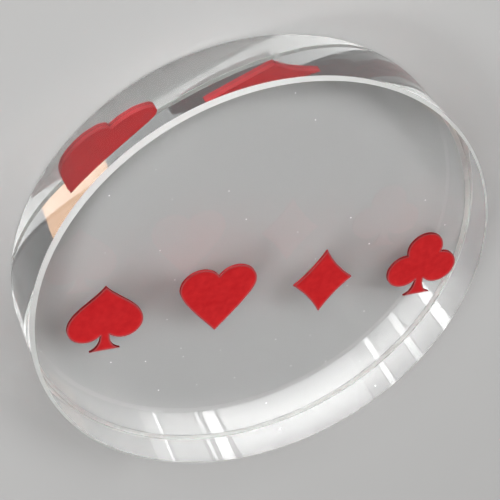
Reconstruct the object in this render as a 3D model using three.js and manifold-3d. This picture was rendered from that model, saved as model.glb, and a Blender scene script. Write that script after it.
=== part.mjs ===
// A clear dealer button: one solid acrylic disc with a row of four card-suit pips
// engraved in its upper face, each pocket flooded with red enamel.
//
// Millimetres, +Z up. The origin is the middle of the underside, +X is the way the row
// of pips reads, and +Y is the way the pips point.

import * as THREE from 'three';
import { mergeVertices } from 'three/addons/utils/BufferGeometryUtils.js';
import Module from 'manifold-3d';

// The disc, cut from cast sheet
const DISC_DIAMETER = 76.2;
const DISC_THICKNESS = 13.1;
const RIM_CHAMFER = 0.55;
const RIM_FACETS = 180;

// The row of pips, centred on the disc
const PIP_HEIGHT = 12.4;
const PIP_PITCH = 17.8;
const CURVE_STEPS = 10;

// The engraving, and the enamel in it, which dries a little below the face
const POCKET_DEPTH = 0.8;
const ENAMEL_DEPTH = 0.7;
const ENAMEL_GAP = 0.15;
const POCKET_OVERRUN = 1;

// Outlines of the pips
const HEART_WIDTH = 12.4;
const HEART_LOBE = 3.35;
const SPADE_WIDTH = 11.8;
const SPADE_LOBE = 3;
const CLUB_WIDTH = 12.3;
const CLUB_LOBE = 3.1;
const DIAMOND_WIDTH = 10;
const DIAMOND_HOLLOW = 0.4;
const STEM_FOOT = 4.6;
const STEM_WAIST = 1.4;
const LOBE_TO_FOOT = 2.1;

const SAME_POINT = 1e-5;
const TOP = PIP_HEIGHT / 2;
const BOTTOM = -PIP_HEIGHT / 2;

const wasm = await Module();
wasm.setup();

// The solid that a closed geometry encloses
function toSolid(geometry) {
  geometry.deleteAttribute('normal');
  geometry.deleteAttribute('uv');
  const welded = mergeVertices(geometry, SAME_POINT);
  return new wasm.Manifold(new wasm.Mesh({
    numProp: 3,
    vertProperties: welded.attributes.position.array,
    triVerts: Uint32Array.from(welded.index.array),
  }));
}

function toGeometry(solid) {
  const { vertProperties, triVerts } = solid.getMesh();
  const geometry = new THREE.BufferGeometry();
  geometry.setAttribute('position', new THREE.BufferAttribute(vertProperties, 3));
  geometry.setIndex(new THREE.BufferAttribute(triVerts, 1));
  geometry.computeVertexNormals();
  return geometry;
}

// Two round lobes that meet in a notch, and sides that run down to a point
function heartShape() {
  const lobeX = HEART_WIDTH / 2 - HEART_LOBE;
  const lobeY = TOP - HEART_LOBE;
  const notch = Math.acos(-lobeX / HEART_LOBE);
  const side = HEART_WIDTH / 2;
  const shape = new THREE.Shape();
  shape.moveTo(0, BOTTOM);
  shape.bezierCurveTo(0.32 * side, 0.6 * BOTTOM, side, 0.05 * PIP_HEIGHT, side, lobeY);
  shape.absarc(lobeX, lobeY, HEART_LOBE, 0, notch);
  shape.absarc(-lobeX, lobeY, HEART_LOBE, Math.PI - notch, Math.PI);
  shape.bezierCurveTo(-side, 0.05 * PIP_HEIGHT, -0.32 * side, 0.6 * BOTTOM, 0, BOTTOM);
  return shape;
}

// The angle on a right-hand lobe where its flared stem meets it
function stemAngle(lobeX, lobe) {
  return -Math.acos((STEM_WAIST / 2 - lobeX) / lobe);
}

// The right-hand edge of a stem, from its foot up to its waist on the lobe
function drawStemUp(shape, waistY) {
  shape.moveTo(STEM_FOOT / 2, BOTTOM);
  shape.quadraticCurveTo(STEM_WAIST / 2, 0.9 * BOTTOM, STEM_WAIST / 2, waistY);
}

function drawStemDown(shape) {
  shape.quadraticCurveTo(-STEM_WAIST / 2, 0.9 * BOTTOM, -STEM_FOOT / 2, BOTTOM);
}

// A heart upside down, on a flared stem
function spadeShape() {
  const lobeX = SPADE_WIDTH / 2 - SPADE_LOBE;
  const lobeY = BOTTOM + LOBE_TO_FOOT + SPADE_LOBE;
  const stem = stemAngle(lobeX, SPADE_LOBE);
  const side = SPADE_WIDTH / 2;
  const shape = new THREE.Shape();
  drawStemUp(shape, lobeY + SPADE_LOBE * Math.sin(stem));
  shape.absarc(lobeX, lobeY, SPADE_LOBE, stem, 0);
  shape.bezierCurveTo(side, 0.16 * PIP_HEIGHT, 0.3 * side, 0.6 * TOP, 0, TOP);
  shape.bezierCurveTo(-0.3 * side, 0.6 * TOP, -side, 0.16 * PIP_HEIGHT, -side, lobeY);
  shape.absarc(-lobeX, lobeY, SPADE_LOBE, Math.PI, Math.PI - stem);
  drawStemDown(shape);
  return shape;
}

// Three round lobes on a flared stem
function clubShape() {
  const lobeX = CLUB_WIDTH / 2 - CLUB_LOBE;
  const lobeY = BOTTOM + LOBE_TO_FOOT + CLUB_LOBE;
  const topY = TOP - CLUB_LOBE;
  const stem = stemAngle(lobeX, CLUB_LOBE);
  const toTop = Math.atan2(topY - lobeY, -lobeX);
  const shared = Math.acos(Math.hypot(topY - lobeY, lobeX) / (2 * CLUB_LOBE));
  const meeting = toTop - Math.PI + shared;
  const shape = new THREE.Shape();
  drawStemUp(shape, lobeY + CLUB_LOBE * Math.sin(stem));
  shape.absarc(lobeX, lobeY, CLUB_LOBE, stem, toTop - shared);
  shape.absarc(0, topY, CLUB_LOBE, meeting, Math.PI - meeting);
  shape.absarc(-lobeX, lobeY, CLUB_LOBE, Math.PI - toTop + shared, Math.PI - stem);
  drawStemDown(shape);
  return shape;
}

// A tall rhombus whose sides are slightly hollow
function diamondShape() {
  const side = DIAMOND_WIDTH / 2;
  const corners = [[0, BOTTOM], [side, 0], [0, TOP], [-side, 0]];
  const shape = new THREE.Shape();
  shape.moveTo(...corners[0]);
  corners.forEach(([x, y], i) => {
    const [nextX, nextY] = corners[(i + 1) % corners.length];
    const middle = new THREE.Vector2(x + nextX, y + nextY).divideScalar(2);
    middle.setLength(middle.length() - 2 * DIAMOND_HOLLOW);
    shape.quadraticCurveTo(middle.x, middle.y, nextX, nextY);
  });
  return shape;
}

// The outline as anticlockwise points, with none repeated
function outlineOf(shape) {
  const points = shape.getPoints(CURVE_STEPS);
  return points.filter((point, i) => point.distanceTo(points.at(i - 1)) > SAME_POINT);
}

// The outline with every side moved outwards by the same distance
function grown(outline, distance) {
  return outline.map((point, i) => {
    const arriving = point.clone().sub(outline.at(i - 1)).normalize();
    const leaving = outline[(i + 1) % outline.length].clone().sub(point).normalize();
    const arrivingOut = new THREE.Vector2(arriving.y, -arriving.x);
    const leavingOut = new THREE.Vector2(leaving.y, -leaving.x);
    const corner = arrivingOut.clone().add(leavingOut).normalize();
    return point.clone().addScaledVector(corner, distance / corner.dot(leavingOut));
  });
}

function prism(outline, depth) {
  return new THREE.ExtrudeGeometry(new THREE.Shape(outline), { depth, bevelEnabled: false });
}

// The disc before engraving, turned from a profile that starts and ends on its axis
function discBlank() {
  const radius = DISC_DIAMETER / 2;
  const profile = [
    [0, 0],
    [radius - RIM_CHAMFER, 0],
    [radius, RIM_CHAMFER],
    [radius, DISC_THICKNESS - RIM_CHAMFER],
    [radius - RIM_CHAMFER, DISC_THICKNESS],
    [0, DISC_THICKNESS],
  ];
  const points = profile.map(([r, z]) => new THREE.Vector2(r, z));
  return new THREE.LatheGeometry(points, RIM_FACETS).rotateX(Math.PI / 2);
}

const PIPS = [
  { name: 'spade_infill', shape: spadeShape() },
  { name: 'heart_infill', shape: heartShape() },
  { name: 'diamond_infill', shape: diamondShape() },
  { name: 'club_infill', shape: clubShape() },
].map((pip, i, row) => ({
  name: pip.name,
  outline: outlineOf(pip.shape),
  x: (i - (row.length - 1) / 2) * PIP_PITCH,
}));

const POCKET_FLOOR = DISC_THICKNESS - POCKET_DEPTH;

// The finished disc: the blank with a pocket cut for each pip
function engravedDisc() {
  let solid = toSolid(discBlank());
  for (const { outline, x } of PIPS) {
    const cutter = prism(grown(outline, ENAMEL_GAP), POCKET_DEPTH + POCKET_OVERRUN);
    solid = solid.subtract(toSolid(cutter.translate(x, 0, POCKET_FLOOR)));
  }
  const acrylic = new THREE.MeshStandardMaterial({
    color: 0xdde6e3,
    roughness: 0.05,
    metalness: 0,
    transparent: true,
    opacity: 0.35,
  });
  const disc = new THREE.Mesh(toGeometry(solid), acrylic);
  disc.name = 'acrylic_disc';
  return disc;
}

// The enamel lying in one pocket
function infill({ name, outline, x }) {
  const enamel = new THREE.MeshStandardMaterial({ color: 0xbe2428, roughness: 0.4, metalness: 0 });
  const mesh = new THREE.Mesh(prism(outline, ENAMEL_DEPTH), enamel);
  mesh.name = name;
  mesh.position.x = x;
  return mesh;
}

// The row of infills, standing on the pocket floors
function marking() {
  const row = new THREE.Group();
  row.position.z = POCKET_FLOOR;
  row.add(...PIPS.map(infill));
  return row;
}

const button = new THREE.Group();
button.add(engravedDisc(), marking());

export default button;
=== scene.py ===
"""The looks of a clear acrylic dealer button with red enamel in its engraving.

Everything is in metres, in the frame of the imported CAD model: +Z is up out of the engraved
face, the row of pips reads along +X, and the pips point along +Y.
"""

import math

import bmesh
import bpy
from mathutils import Matrix, Vector, kdtree, noise
from mathutils.geometry import delaunay_2d_cdt


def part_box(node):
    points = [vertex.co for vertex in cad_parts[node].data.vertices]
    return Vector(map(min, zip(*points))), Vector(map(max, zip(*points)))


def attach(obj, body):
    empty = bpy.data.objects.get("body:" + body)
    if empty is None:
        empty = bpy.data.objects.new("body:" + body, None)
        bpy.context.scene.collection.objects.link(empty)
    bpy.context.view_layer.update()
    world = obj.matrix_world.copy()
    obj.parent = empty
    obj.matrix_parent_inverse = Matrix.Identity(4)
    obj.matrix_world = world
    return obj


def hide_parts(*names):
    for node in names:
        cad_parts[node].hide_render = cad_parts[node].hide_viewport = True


MM = 0.001
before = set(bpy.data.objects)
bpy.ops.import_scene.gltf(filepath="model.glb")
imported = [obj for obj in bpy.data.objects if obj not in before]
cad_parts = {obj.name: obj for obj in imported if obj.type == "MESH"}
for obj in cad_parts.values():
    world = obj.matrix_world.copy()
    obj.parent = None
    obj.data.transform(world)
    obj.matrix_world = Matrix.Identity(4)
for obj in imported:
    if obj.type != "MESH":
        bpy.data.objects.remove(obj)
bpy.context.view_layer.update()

DISC_LOW, DISC_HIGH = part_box("acrylic_disc")
RADIUS = (DISC_HIGH.x - DISC_LOW.x) / 2
TOP = DISC_HIGH.z
BOTTOM = DISC_LOW.z

# The disc's turned shape. Its chamfers were run by hand, so their width wanders round the rim.
# The upper one is also wider towards -X and the lower one towards +X, by CHAMFER_LEAN.
CHAMFER = 0.55 * MM
CHAMFER_LEAN = 0.1 * MM
CHAMFER_WANDER = 0.08 * MM
WANDER_LENGTH = 22 * MM
WANDER_SEED = 11.3
CORNER_RADIUS = 0.1 * MM
CORNER_STEPS = 4
RIM_STEPS = 720
POCKET_DEPTH = 0.8 * MM

# The enamel in the pockets. It reaches ENAMEL_BITE into the plastic that it wets.
ENAMEL_BITE = 0.02 * MM
MENISCUS_TOP = 0.02 * MM
MENISCUS_SAG = 0.13 * MM
MENISCUS_REACH = 0.35 * MM
ENAMEL_GRID = 0.22 * MM
ENAMEL_GRID_MARGIN = 0.6 * ENAMEL_GRID
RIPPLE_HEIGHT = 0.02 * MM
RIPPLE_SIZE = 3 * MM
RIPPLE_SEED = 7.3

# Outlines of the pips, as in the engraving
OUTLINE_STEP = 0.12 * MM
REPEATED_POINT = OUTLINE_STEP / 20
LARGEST_HOLE = 20 * MM
HEART_LOBE = 3.35 * MM
SPADE_LOBE = 3.0 * MM
CLUB_LOBE = 3.1 * MM
DIAMOND_HOLLOW = 0.4 * MM
STEM_FOOT = 4.6 * MM
STEM_WAIST = 1.4 * MM
LOBE_TO_FOOT = 2.1 * MM

# Handles of the curves in those outlines. A tip's is in shares of half the width and half the
# height, a side's is a share of the height, and the stem's is a share of half the height.
HEART_TIP_HANDLE = (0.32, 0.6)
HEART_SIDE_HANDLE = 0.05
SPADE_TIP_HANDLE = (0.3, 0.6)
SPADE_SIDE_HANDLE = 0.16
STEM_HANDLE = 0.9

# How an outline is filled: with the triangles inside it, and with points this near taken as one
TRIANGLES = 2
SAME_POINT = 1e-9

# The material slots of the disc and of each infill
FACE, REAR_RIM, WALL, FRONT_RIM, POCKET = range(5)
ENAMEL_TOP, ENAMEL_FLOOR, ENAMEL_SIDE = range(3)

# Noise: how rough it is, the range that most of it lies in, and its scale where nothing stretches it
NOISE_ROUGHNESS = 0.55
NOISE_RANGE = (0.3, 0.7)
EVEN = (1, 1, 1)

WHITE = (1, 1, 1)

# The plastic
ACRYLIC_IOR = 1.49
ACRYLIC_TINT = (0.93, 0.96, 0.945)
ACRYLIC_DENSITY = 3.0

# The engraved face and the underside: round nicks, scuffs along Y, and slow waves
NICK_SPACING = 8 * MM
NICK_LARGEST = 0.22 * MM
NICK_RARITY = 3
NICK_ROUGHNESS = 0.6
SCUFF_SCALE = (1, 0.08, 1)
SCUFF_WIDTH = 0.5 * MM
SCUFF_RANGE = (0.66, 0.8)
SCUFF_ROUGHNESS = 0.06
WAVE_LENGTH = 14 * MM
WAVE_HEIGHT = 0.0015 * MM

# The wall: streaks, darker lines and haze, all running parallel to the axis
STREAK_SCALE = (1, 1, 0.03)
STREAK_WIDTH = 1.6 * MM
STREAK_HEIGHT = 0.003 * MM
LINE_SCALE = (1, 1, 0.02)
LINE_WIDTH = 0.45 * MM
LINE_RANGE = (0.45, 0.75)
LINE_COLOUR = (0.8, 0.81, 0.8)
HAZE_SCALE = (1, 1, 0.06)
HAZE_WIDTH = 1.2 * MM
HAZE_RANGE = (0.6, 0.75)
HAZE_ROUGHNESS = 0.12

# The chamfers: chatter across them, and a satin finish that comes and goes
RIM_COLOUR = (0.95, 0.95, 0.94)
CHATTER_WIDTH = 0.7 * MM
CHATTER_HEIGHT = 0.001 * MM
SATIN_PATCH = 5 * MM

# The pockets: the engraver's raster lines, which run along X
RASTER_SCALE = (0.1, 1, 1)
RASTER_WIDTH = 0.12 * MM
RASTER_HEIGHT = 0.02 * MM
RASTER_ROUGHNESS = (0.3, 0.5)

# The enamel's colours, each from dark to light, and the marks on its open surface
DRY_ENAMEL = ((0.435, 0.008, 0.0115), (0.515, 0.014, 0.017))
DRY_ENAMEL_EDGE = (0.36, 0.07, 0.075)
DRY_ENAMEL_GLOSS = 0.3
DRY_ENAMEL_ROUGHNESS = (0.4, 0.55)
DRY_ENAMEL_MOTTLE = 1.1 * MM
EDGE_REACH = (0.05 * MM, 0.35 * MM)
PEEL_SIZE = 0.45 * MM
PEEL_HEIGHT = 0.012 * MM
GLOSS_PATCH = 2 * MM
# Where it wets the plastic the enamel is lighter than its open top. Part of this is the paint's own
# red, with no gloss lost at the wetted face. Part is painted light, standing in for the light that the
# shaded underside lacks.
WET_ENAMEL_PAINTED_LIGHTER = ((0.63, 0.0135, 0.019), (0.71, 0.02, 0.026))
FROSTED_ENAMEL = ((0.45, 0.03, 0.039), (0.52, 0.042, 0.05))
WET_ENAMEL_MOTTLE = 0.8 * MM

# The camera. Lengths are in disc radii, from the middle of the engraved face.
CAMERA_DISTANCE = 5.297
CAMERA_AZIMUTH = 208.56
CAMERA_ELEVATION = 43.8
CAMERA_AIM = Vector((-0.1164, 0.2343, 0))
CAMERA_ROLL = 149.35
CAMERA_LENS = 93.0
SENSOR_WIDTH = 36
CLIP_START = 1 * MM

# The softboxes stand in a ring round the disc: name, first and last azimuth, height and radiance
SOFTBOX_DISTANCE = 1.2
SOFTBOX_ELEVATION = 45
SOFTBOXES = [
    ("right_end", 109, 117, 0.4, 2.5),
    ("right_thin_strip", 117, 119, 0.4, 15),
    ("right_fill", 120, 139, 0.4, 2),
    ("right_line", 140, 142, 0.4, 6),
    ("right_strip", 144, 151, 0.4, 8),
    ("key", 154, 225, 0.8, 4.1),
    ("left_fill", 225, 235.8, 0.4, 2.7),
    ("left_strip", 235.8, 239, 0.4, 20),
    ("left_middle", 239, 253, 0.4, 2.2),
    ("left_thin_strip", 253, 257.5, 0.4, 7),
    ("left_far_fill", 257.5, 273.7, 0.4, 2.2),
    ("left_far_strip", 273.7, 281, 0.4, 22),
]

# A warm card that the near wall mirrors, given as a softbox is, and its colour
WARM_CARD = ("warm_card", 46, 66, 0.4, 0.75)
WARM = (1, 0.58, 0.33)

# The room and the plain floor
WORLD_GREY = (0.12, 0.12, 0.12)
FLOOR_SIZE = 6.0
FLOOR_GAP = 0.1 * MM
FLOOR_COLOURS = ((0.45, 0.45, 0.446), (0.467, 0.467, 0.463))
FLOOR_PATCH = 30 * MM
FLOOR_ROUGHNESS = 0.9


# ---------------------------------------------------------------- outlines

def arc(centre, radius, start, end):
    """Points along an arc, closer together than OUTLINE_STEP."""
    steps = max(2, math.ceil(abs(end - start) * radius / OUTLINE_STEP))
    angles = [start + (end - start) * i / steps for i in range(steps + 1)]
    return [centre + radius * Vector((math.cos(a), math.sin(a))) for a in angles]


def bezier(*handles):
    """Points along a Bezier curve of any degree, closer together than OUTLINE_STEP."""
    handles = [Vector(h) for h in handles]
    length = sum((b - a).length for a, b in zip(handles, handles[1:]))
    steps = max(2, math.ceil(length / OUTLINE_STEP))
    points = []
    for i in range(steps + 1):
        level = handles
        while len(level) > 1:
            level = [a.lerp(b, i / steps) for a, b in zip(level, level[1:])]
        points.append(level[0])
    return points


def mirrored(points):
    """The left half of a symmetrical outline, from its right half."""
    return [Vector((-p.x, p.y)) for p in reversed(points)]


def closed(points):
    """The outline with repeated points dropped."""
    return [p for i, p in enumerate(points) if (p - points[i - 1]).length > REPEATED_POINT]


def heart_outline(width, height):
    """Two round lobes that meet in a notch, and sides that run down to a point."""
    side, top, bottom = width / 2, height / 2, -height / 2
    lobe = Vector((side - HEART_LOBE, top - HEART_LOBE))
    tip = (HEART_TIP_HANDLE[0] * side, HEART_TIP_HANDLE[1] * bottom)
    right = bezier((0, bottom), tip, (side, HEART_SIDE_HANDLE * height), (side, lobe.y))
    right += arc(lobe, HEART_LOBE, 0, math.acos(-lobe.x / HEART_LOBE))
    return closed(right + mirrored(right))


def stem_and_angle(lobe, radius, bottom):
    """The right half of a stem, from its foot to its lobe, and the angle on the lobe where it ends."""
    angle = -math.acos((STEM_WAIST / 2 - lobe.x) / radius)
    waist = (STEM_WAIST / 2, lobe.y + radius * math.sin(angle))
    foot = (STEM_FOOT / 2, bottom)
    flare = bezier(foot, (STEM_WAIST / 2, STEM_HANDLE * bottom), waist)
    return bezier((0, bottom), foot) + flare, angle


def spade_outline(width, height):
    """A heart upside down, on a flared stem."""
    side, top, bottom = width / 2, height / 2, -height / 2
    lobe = Vector((side - SPADE_LOBE, bottom + LOBE_TO_FOOT + SPADE_LOBE))
    right, angle = stem_and_angle(lobe, SPADE_LOBE, bottom)
    right += arc(lobe, SPADE_LOBE, angle, 0)
    tip = (SPADE_TIP_HANDLE[0] * side, SPADE_TIP_HANDLE[1] * top)
    right += bezier((side, lobe.y), (side, SPADE_SIDE_HANDLE * height), tip, (0, top))
    return closed(right + mirrored(right))


def club_outline(width, height):
    """Three round lobes on a flared stem."""
    side, top, bottom = width / 2, height / 2, -height / 2
    lobe = Vector((side - CLUB_LOBE, bottom + LOBE_TO_FOOT + CLUB_LOBE))
    crown = Vector((0, top - CLUB_LOBE))
    right, angle = stem_and_angle(lobe, CLUB_LOBE, bottom)
    to_crown = math.atan2(crown.y - lobe.y, -lobe.x)
    shared = math.acos((crown - lobe).length / (2 * CLUB_LOBE))
    right += arc(lobe, CLUB_LOBE, angle, to_crown - shared)
    right += arc(crown, CLUB_LOBE, to_crown - math.pi + shared, math.pi / 2)
    return closed(right + mirrored(right))


def diamond_outline(width, height):
    """A tall rhombus whose sides are slightly hollow."""
    side, top = width / 2, height / 2
    middle = Vector((side, top)) / 2
    middle -= middle.normalized() * 2 * DIAMOND_HOLLOW
    right = bezier((0, -top), (middle.x, -middle.y), (side, 0))
    right += bezier((side, 0), middle, (0, top))
    return closed(right + mirrored(right))


def grown(outline, distance):
    """The outline with every side moved outwards by the same distance."""
    moved = []
    for i, point in enumerate(outline):
        arriving = (point - outline[i - 1]).normalized()
        leaving = (outline[(i + 1) % len(outline)] - point).normalized()
        out = Vector((leaving.y, -leaving.x))
        corner = (Vector((arriving.y, -arriving.x)) + out).normalized()
        moved.append(point + corner * distance / corner.dot(out))
    return moved


def inside(outline, p):
    """True if p is inside the outline."""
    hit = False
    for i, a in enumerate(outline):
        b = outline[i - 1]
        if (a.y > p.y) != (b.y > p.y) and p.x < (b.x - a.x) * (p.y - a.y) / (b.y - a.y) + a.x:
            hit = not hit
    return hit


# ---------------------------------------------------------------- meshes

def in_hole(p, holes):
    """True if p is inside one of the holes, which are outlines less than LARGEST_HOLE across."""
    near = [hole for hole in holes if (p - hole[0]).length < LARGEST_HOLE]
    return any(inside(hole, p) for hole in near)


def filled(loops, inner_points=()):
    """Triangulates the first loop, less the other loops. Gives points, triangles and origins.

    A point's origins are the places, in the loops put end to end, of the points that it came from."""
    points = [p for loop in loops for p in loop]
    edges = []
    start = 0
    for loop in loops:
        count = len(loop)
        edges += [(start + i, start + (i + 1) % count) for i in range(count)]
        start += count
    points += list(inner_points)
    verts, _, faces, origins, _, _ = delaunay_2d_cdt(points, edges, [], TRIANGLES, SAME_POINT)
    middles = [sum((verts[i] for i in face), Vector((0, 0))) / 3 for face in faces]
    kept = [face for face, middle in zip(faces, middles) if not in_hole(middle, loops[1:])]
    return verts, kept, origins


def new_object(name, bm, materials):
    """An object in the scene with the mesh, which is freed, and the materials in its slots."""
    mesh = bpy.data.meshes.new(name)
    bm.to_mesh(mesh)
    bm.free()
    for material in materials:
        mesh.materials.append(material)
    obj = bpy.data.objects.new(name, mesh)
    bpy.context.scene.collection.objects.link(obj)
    return obj


def cap(bm, rings, facing_up, material):
    """A flat face between rings of vertices: the first is its outside, the rest are holes."""
    loops = [[Vector((v.co.x, v.co.y)) for v in ring] for ring in rings]
    corners = [v for ring in rings for v in ring]
    _, faces, origins = filled(loops)
    for face in faces:
        picked = [corners[origins[i][0]] for i in face]
        made = bm.faces.new(picked if facing_up else list(reversed(picked)))
        made.material_index = material
        made.smooth = False


def band(bm, low, high, material, smooth=True):
    """Quads between two rings that run anticlockwise, facing outwards if low is below high."""
    count = len(low)
    for i in range(count):
        j = (i + 1) % count
        face = bm.faces.new((low[i], low[j], high[j], high[i]))
        face.material_index = material
        face.smooth = smooth


def mark_sharp(ring):
    """Makes the edges along a ring of vertices sharp, so that shading doesn't blend across it."""
    for i, vert in enumerate(ring):
        following = ring[(i + 1) % len(ring)]
        for edge in vert.link_edges:
            if edge.other_vert(vert) is following:
                edge.smooth = False


def chamfer_at(angle, side):
    """The width of a chamfer at one angle round the disc. side is -1 below and 1 above."""
    place = Vector((math.cos(angle), math.sin(angle), 0)) * RADIUS / WANDER_LENGTH
    wander = noise.noise(place + Vector((0, 0, WANDER_SEED * side)))
    return CHAMFER - side * CHAMFER_LEAN * math.cos(angle) + CHAMFER_WANDER * wander


def rim_profile(angle):
    """The disc's edge at one angle, from underside to top, as runs of (radius, height).

    Each run is a rounded corner, and the flats lie between the runs."""
    low, high = chamfer_at(angle, -1), chamfer_at(angle, 1)
    corners = [
        (Vector((RADIUS - low, BOTTOM)), 270, 315),
        (Vector((RADIUS, BOTTOM + low)), 315, 360),
        (Vector((RADIUS, TOP - high)), 0, 45),
        (Vector((RADIUS - high, TOP)), 45, 90),
    ]
    runs = []
    for corner, start, end in corners:
        middle = math.radians((start + end) / 2)
        reach = CORNER_RADIUS / math.cos(math.radians(end - start) / 2)
        centre = corner - reach * Vector((math.cos(middle), math.sin(middle)))
        steps = range(CORNER_STEPS + 1)
        turns = [math.radians(start + (end - start) * i / CORNER_STEPS) for i in steps]
        runs.append([centre + CORNER_RADIUS * Vector((math.cos(a), math.sin(a))) for a in turns])
    return runs


def build_rim(bm):
    """The chamfers, rounded corners and wall. Returns the lowest and the highest ring."""
    angles = [2 * math.pi * i / RIM_STEPS for i in range(RIM_STEPS)]
    profiles = [rim_profile(a) for a in angles]
    runs = []
    for run in range(len(profiles[0])):
        rings = []
        for step in range(CORNER_STEPS + 1):
            ring = []
            for profile, a in zip(profiles, angles):
                p = profile[run][step]
                ring.append(bm.verts.new((p.x * math.cos(a), p.x * math.sin(a), p.y)))
            rings.append(ring)
        runs.append(rings)
    for rings, material in zip(runs, (REAR_RIM, REAR_RIM, FRONT_RIM, FRONT_RIM)):
        for low, high in zip(rings, rings[1:]):
            band(bm, low, high, material)
    for lower, upper, material in zip(runs, runs[1:], (REAR_RIM, WALL, FRONT_RIM)):
        band(bm, lower[-1], upper[0], material)
    for rings in runs:
        mark_sharp(rings[0])
        mark_sharp(rings[-1])
    return runs[0][0], runs[-1][-1]


def build_disc(outlines, materials):
    """The disc, with a pocket in its upper face for each outline."""
    bm = bmesh.new()
    lowest, highest = build_rim(bm)
    mouths = []
    for outline in outlines:
        mouth = [bm.verts.new((p.x, p.y, TOP)) for p in outline]
        floor = [bm.verts.new((p.x, p.y, TOP - POCKET_DEPTH)) for p in outline]
        band(bm, mouth, floor, POCKET, smooth=False)
        cap(bm, [floor], True, POCKET)
        mouths.append(mouth)
    cap(bm, [highest] + mouths, True, FACE)
    cap(bm, [lowest], False, FACE)
    for mouth in mouths:
        mark_sharp(mouth)
    return new_object("polished_disc", bm, materials)


def enamel_height(point, depth_in, seed):
    """How high the enamel stands at a point that is depth_in from the pocket wall."""
    sag = MENISCUS_SAG * (1 - math.exp(-depth_in / MENISCUS_REACH))
    place = Vector((point.x, point.y, 0)) / RIPPLE_SIZE + Vector((0, 0, RIPPLE_SEED * seed))
    ripple = noise.noise(place) * min(1, depth_in / MENISCUS_REACH)
    return TOP - MENISCUS_TOP - sag + RIPPLE_HEIGHT * ripple


def grid_inside(outline, tree):
    """Staggered points inside the outline, kept a little away from it. tree holds its points."""
    low = Vector((min(p.x for p in outline), min(p.y for p in outline)))
    high = Vector((max(p.x for p in outline), max(p.y for p in outline)))
    points = []
    for row in range(int((high.y - low.y) / ENAMEL_GRID) + 1):
        for column in range(int((high.x - low.x) / ENAMEL_GRID) + 1):
            p = low + ENAMEL_GRID * Vector((column + 0.5 * (row % 2), row))
            if tree.find((p.x, p.y, 0))[2] > ENAMEL_GRID_MARGIN and inside(outline, p):
                points.append(p)
    return points


def build_enamel(name, outline, seed, materials):
    """One infill. The layer depth_in holds how far each point of its top is from its edge."""
    outer = grown(outline, ENAMEL_BITE)
    tree = kdtree.KDTree(len(outer))
    for i, p in enumerate(outer):
        tree.insert((p.x, p.y, 0), i)
    tree.balance()
    verts, faces, origins = filled([outer], grid_inside(outer, tree))
    bm = bmesh.new()
    depth = bm.verts.layers.float.new("depth_in")
    top = []
    for p in verts:
        depth_in = tree.find((p.x, p.y, 0))[2]
        vert = bm.verts.new((p.x, p.y, enamel_height(p, depth_in, seed)))
        vert[depth] = depth_in
        top.append(vert)
    for face in faces:
        made = bm.faces.new([top[i] for i in face])
        made.material_index = ENAMEL_TOP
        made.smooth = True
    ring = [None] * len(outer)
    for vert, origin in zip(top, origins):
        if origin and origin[0] < len(outer):
            ring[origin[0]] = vert
    floor = [bm.verts.new((v.co.x, v.co.y, TOP - POCKET_DEPTH - ENAMEL_BITE)) for v in ring]
    band(bm, floor, ring, ENAMEL_SIDE, smooth=False)
    cap(bm, [floor], False, ENAMEL_FLOOR)
    mark_sharp(ring)
    return new_object(name, bm, materials)


# ---------------------------------------------------------------- materials

def new_material(name):
    """A material, its node tree and its shader."""
    material = bpy.data.materials.new(name)
    material.use_nodes = True
    tree = material.node_tree
    return material, tree, tree.nodes["Principled BSDF"]


def node(tree, kind, settings=None, **inputs):
    """A node with its settings and input values. An input's name has _ for its spaces."""
    made = tree.nodes.new(kind)
    for name, value in (settings or {}).items():
        setattr(made, name, value)
    for name, value in inputs.items():
        made.inputs[name.replace("_", " ")].default_value = value
    return made


def ramp(tree, source, low, high, start=0.0, end=1.0):
    """A number that goes from start to end as source goes from low to high."""
    made = node(tree, "ShaderNodeMapRange", From_Min=low, From_Max=high, To_Min=start, To_Max=end)
    tree.links.new(source, made.inputs["Value"])
    return made.outputs["Result"]


def stretched(tree, scale, around=False):
    """Object coordinates times scale. If around is true, only their direction from the axis counts."""
    coords = node(tree, "ShaderNodeTexCoord").outputs["Object"]
    if around:
        flat = node(tree, "ShaderNodeVectorMath", {"operation": "MULTIPLY"})
        flat.inputs[1].default_value = (1, 1, 0)  # leaves out the height
        tree.links.new(coords, flat.inputs[0])
        unit = node(tree, "ShaderNodeVectorMath", {"operation": "NORMALIZE"})
        tree.links.new(flat.outputs[0], unit.inputs[0])
        coords = unit.outputs[0]
    made = node(tree, "ShaderNodeMapping")
    made.inputs["Scale"].default_value = scale
    tree.links.new(coords, made.inputs["Vector"])
    return made.outputs["Vector"]


def grain(tree, size, detail=2.0, scale=EVEN, around=False):
    """Noise from 0 to 1 whose features are about size across, and longer where scale is below 1."""
    made = node(tree, "ShaderNodeTexNoise", Scale=1 / size, Detail=detail, Roughness=NOISE_ROUGHNESS)
    tree.links.new(stretched(tree, scale, around), made.inputs["Vector"])
    return made.outputs["Fac"]


def mixed(tree, factor, first, second):
    """A colour that goes from first to second as factor goes from 0 to 1."""
    made = node(tree, "ShaderNodeMix", {"data_type": "RGBA"})
    tree.links.new(factor, made.inputs["Factor"])
    for name, colour in (("A", first), ("B", second)):
        socket = next(s for s in made.inputs if s.name == name and s.type == "RGBA")
        if isinstance(colour, bpy.types.NodeSocket):
            tree.links.new(colour, socket)
        else:
            socket.default_value = (*colour, 1)
    return next(s for s in made.outputs if s.type == "RGBA")


def mottled(tree, colours, size):
    """A colour between two colours, in soft patches about size across."""
    return mixed(tree, ramp(tree, grain(tree, size, detail=4), *NOISE_RANGE), *colours)


def bump(tree, shader, height, distance):
    """Raises the shader's surface by up to distance, where height is 1."""
    made = node(tree, "ShaderNodeBump", Strength=1.0, Distance=distance)
    tree.links.new(height, made.inputs["Height"])
    tree.links.new(made.outputs["Normal"], shader.inputs["Normal"])


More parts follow.
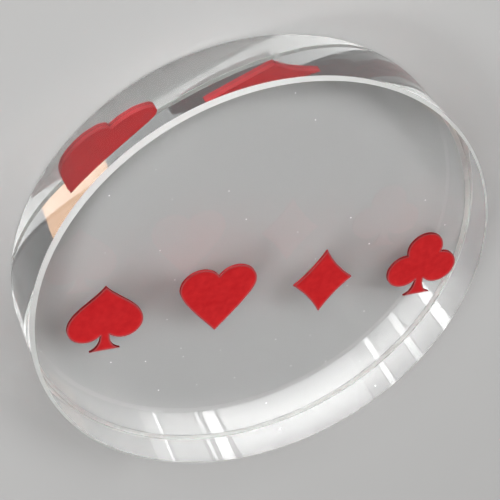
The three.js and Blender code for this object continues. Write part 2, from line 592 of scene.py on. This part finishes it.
def acrylic(name):
    """Clear plastic with the faint cool grey that a long way through it has."""
    material, tree, shader = new_material(name)
    shader.inputs["Base Color"].default_value = (*WHITE, 1)
    shader.inputs["Transmission Weight"].default_value = 1
    shader.inputs["IOR"].default_value = ACRYLIC_IOR
    tint = (*ACRYLIC_TINT, 1)
    volume = node(tree, "ShaderNodeVolumeAbsorption", Color=tint, Density=ACRYLIC_DENSITY)
    tree.links.new(volume.outputs[0], tree.nodes["Material Output"].inputs["Volume"])
    return material, tree, shader


def nicks(tree, spacing, largest):
    """1 inside round nicks, whose radius is mostly far below largest, and 0 elsewhere."""
    cells = node(tree, "ShaderNodeTexVoronoi", {"voronoi_dimensions": "2D"}, Scale=1 / spacing)
    tree.links.new(stretched(tree, EVEN), cells.inputs["Vector"])
    rarity = node(tree, "ShaderNodeMath", {"operation": "POWER"})
    rarity.inputs[1].default_value = NICK_RARITY
    tree.links.new(cells.outputs["Color"], rarity.inputs[0])
    reach = ramp(tree, rarity.outputs[0], 0, 1, 0, largest / spacing)
    nick = node(tree, "ShaderNodeMath", {"operation": "LESS_THAN"})
    tree.links.new(cells.outputs["Distance"], nick.inputs[0])
    tree.links.new(reach, nick.inputs[1])
    return nick.outputs[0]


def polished_face():
    """The sheet's own cast surface: very flat, with pinprick nicks and fine wear from the table."""
    material, tree, shader = acrylic("polished_face")
    scuffs = grain(tree, SCUFF_WIDTH, detail=4, scale=SCUFF_SCALE)
    nicked = nicks(tree, NICK_SPACING, NICK_LARGEST)
    worn = node(tree, "ShaderNodeMath", {"operation": "MAXIMUM"})
    tree.links.new(ramp(tree, scuffs, *SCUFF_RANGE, 0, SCUFF_ROUGHNESS), worn.inputs[0])
    tree.links.new(ramp(tree, nicked, 0, 1, 0, NICK_ROUGHNESS), worn.inputs[1])
    tree.links.new(worn.outputs[0], shader.inputs["Roughness"])
    bump(tree, shader, grain(tree, WAVE_LENGTH), WAVE_HEIGHT)
    return material


def polished_wall():
    """The sawn edge, buffed round and round: faint streaks run across it, parallel to the axis."""
    material, tree, shader = acrylic("polished_wall")
    streaks = grain(tree, STREAK_WIDTH, detail=5, scale=STREAK_SCALE)
    bump(tree, shader, streaks, STREAK_HEIGHT)
    lines = ramp(tree, grain(tree, LINE_WIDTH, detail=4, scale=LINE_SCALE), *LINE_RANGE)
    tree.links.new(mixed(tree, lines, WHITE, LINE_COLOUR), shader.inputs["Base Color"])
    haze = grain(tree, HAZE_WIDTH, detail=3, scale=HAZE_SCALE)
    tree.links.new(ramp(tree, haze, *HAZE_RANGE, 0, HAZE_ROUGHNESS), shader.inputs["Roughness"])
    return material


def satin_rim(name, clearness, finest, coarsest):
    """A chamfer as the scraper left it: faint chatter across a surface that scatters the light.

    clearness is how much it lets through, and finest and coarsest its least and most roughness."""
    material, tree, shader = acrylic(name)
    shader.inputs["Transmission Weight"].default_value = clearness
    shader.inputs["Base Color"].default_value = (*RIM_COLOUR, 1)
    bump(tree, shader, grain(tree, CHATTER_WIDTH / RADIUS, around=True), CHATTER_HEIGHT)
    satin = grain(tree, SATIN_PATCH, detail=3)
    tree.links.new(ramp(tree, satin, *NOISE_RANGE, finest, coarsest), shader.inputs["Roughness"])
    return material


def etched_pocket():
    """The engraver's raster lines in the pocket's floor and wall."""
    material, tree, shader = acrylic("etched_pocket")
    lines = grain(tree, RASTER_WIDTH, scale=RASTER_SCALE)
    bump(tree, shader, lines, RASTER_HEIGHT)
    tree.links.new(ramp(tree, lines, *NOISE_RANGE, *RASTER_ROUGHNESS), shader.inputs["Roughness"])
    return material


def dry_enamel():
    """The enamel's open surface: satin, with the faint peel of paint that dried in a pocket."""
    material, tree, shader = new_material("dry_enamel")
    shader.inputs["Specular IOR Level"].default_value = DRY_ENAMEL_GLOSS
    body = mottled(tree, DRY_ENAMEL, DRY_ENAMEL_MOTTLE)
    depth = node(tree, "ShaderNodeAttribute", {"attribute_name": "depth_in"}).outputs["Fac"]
    colour = mixed(tree, ramp(tree, depth, *EDGE_REACH), DRY_ENAMEL_EDGE, body)
    tree.links.new(colour, shader.inputs["Base Color"])
    bump(tree, shader, grain(tree, PEEL_SIZE), PEEL_HEIGHT)
    roughness = ramp(tree, grain(tree, GLOSS_PATCH), *NOISE_RANGE, *DRY_ENAMEL_ROUGHNESS)
    tree.links.new(roughness, shader.inputs["Roughness"])
    return material


def wet_enamel(name, colours):
    """The enamel where it wets the plastic. No air is between them, so it has no gloss."""
    material, tree, shader = new_material(name)
    tree.links.new(mottled(tree, colours, WET_ENAMEL_MOTTLE), shader.inputs["Base Color"])
    shader.inputs["Roughness"].default_value = 1
    shader.inputs["Specular IOR Level"].default_value = 0
    return material


def pale_floor():
    """A plain matt grey that hardly varies."""
    material, tree, shader = new_material("pale_floor")
    colour = mixed(tree, grain(tree, FLOOR_PATCH), *FLOOR_COLOURS)
    tree.links.new(colour, shader.inputs["Base Color"])
    shader.inputs["Roughness"].default_value = FLOOR_ROUGHNESS
    return material


# ---------------------------------------------------------------- stage

def build_floor():
    bpy.ops.mesh.primitive_plane_add(size=FLOOR_SIZE, location=(0, 0, BOTTOM - FLOOR_GAP))
    floor = bpy.context.object
    floor.name = "floor"
    floor.data.materials.append(pale_floor())


def direction(azimuth, elevation):
    """The unit vector towards a place seen from the disc. Azimuth 0 is towards -Y."""
    a, e = math.radians(azimuth), math.radians(elevation)
    return Vector((math.sin(a) * math.cos(e), -math.cos(a) * math.cos(e), math.sin(e)))


def softbox(name, first, last, height, radiance, colour=WHITE):
    """A flat light that faces the disc, from one azimuth to another. Its radiance is even."""
    towards = direction((first + last) / 2, SOFTBOX_ELEVATION)
    across = math.tan(math.radians(last - first) / 2)
    width = 2 * SOFTBOX_DISTANCE * towards.xy.length * across
    light = bpy.data.lights.new(name, "AREA")
    light.shape = "RECTANGLE"
    light.color = colour
    light.size, light.size_y = width, height
    light.energy = radiance * math.pi * width * height
    obj = bpy.data.objects.new(name, light)
    obj.location = towards * SOFTBOX_DISTANCE
    obj.rotation_euler = towards.to_track_quat("Z", "Y").to_euler()
    bpy.context.scene.collection.objects.link(obj)


def build_camera():
    face = Vector((0, 0, TOP))
    place = face + direction(CAMERA_AZIMUTH, CAMERA_ELEVATION) * CAMERA_DISTANCE * RADIUS
    look = (face + CAMERA_AIM * RADIUS - place).to_track_quat("-Z", "Y").to_matrix().to_4x4()
    roll = Matrix.Rotation(math.radians(CAMERA_ROLL), 4, "Z")
    camera = bpy.data.objects.new("camera", bpy.data.cameras.new("camera"))
    camera.matrix_world = Matrix.Translation(place) @ look @ roll
    camera.data.lens = CAMERA_LENS
    camera.data.sensor_width = SENSOR_WIDTH
    camera.data.clip_start = CLIP_START
    bpy.context.scene.collection.objects.link(camera)
    bpy.context.scene.camera = camera


def build_world():
    world = bpy.data.worlds.new("world")
    world.use_nodes = True
    world.node_tree.nodes["Background"].inputs["Color"].default_value = (*WORLD_GREY, 1)
    bpy.context.scene.world = world


def build_lights():
    for box in SOFTBOXES:
        softbox(*box)
    softbox(*WARM_CARD, WARM)


def set_light_paths():
    """Enough bounces for light to cross the plastic and come back, with no blurring of gloss."""
    cycles = bpy.context.scene.cycles
    cycles.max_bounces = 32
    cycles.transmission_bounces = 24
    cycles.glossy_bounces = 24
    cycles.diffuse_bounces = 6
    cycles.blur_glossy = 0
    bpy.context.scene.view_settings.view_transform = "Standard"


# ---------------------------------------------------------------- the button

# Each pip: its CAD node, the name of its enamel and its outline
PIPS = [
    ("spade_infill", "spade_enamel", spade_outline),
    ("heart_infill", "heart_enamel", heart_outline),
    ("diamond_infill", "diamond_enamel", diamond_outline),
    ("club_infill", "club_enamel", club_outline),
]


def pip_outline(cad_node, draw):
    """A pip's outline, at the size and place of its CAD node."""
    low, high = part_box(cad_node)
    centre = Vector(((low.x + high.x) / 2, (low.y + high.y) / 2))
    return [p + centre for p in draw(high.x - low.x, high.y - low.y)]


build_camera()
outlines = [pip_outline(cad_node, draw) for cad_node, _, draw in PIPS]

rear_rim = satin_rim("rear_rim", clearness=0.05, finest=0.2, coarsest=0.3)
front_rim = satin_rim("front_rim", clearness=0.55, finest=0.3, coarsest=0.45)
disc = build_disc(outlines, [polished_face(), rear_rim, polished_wall(), front_rim, etched_pocket()])
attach(disc, "root")
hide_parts("acrylic_disc")

enamel_materials = [
    dry_enamel(),
    # Painted light: the wetted enamel's colours are lighter than the open top's, to stand in for the
    # light that its underside lacks.
    wet_enamel("wet_enamel", WET_ENAMEL_PAINTED_LIGHTER),
    wet_enamel("frosted_enamel", FROSTED_ENAMEL),
]
for seed, ((cad_node, name, _), outline) in enumerate(zip(PIPS, outlines)):
    piece = build_enamel(name, outline, seed, enamel_materials)
    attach(piece, "root")
    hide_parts(cad_node)

build_floor()
build_world()
build_lights()
set_light_paths()
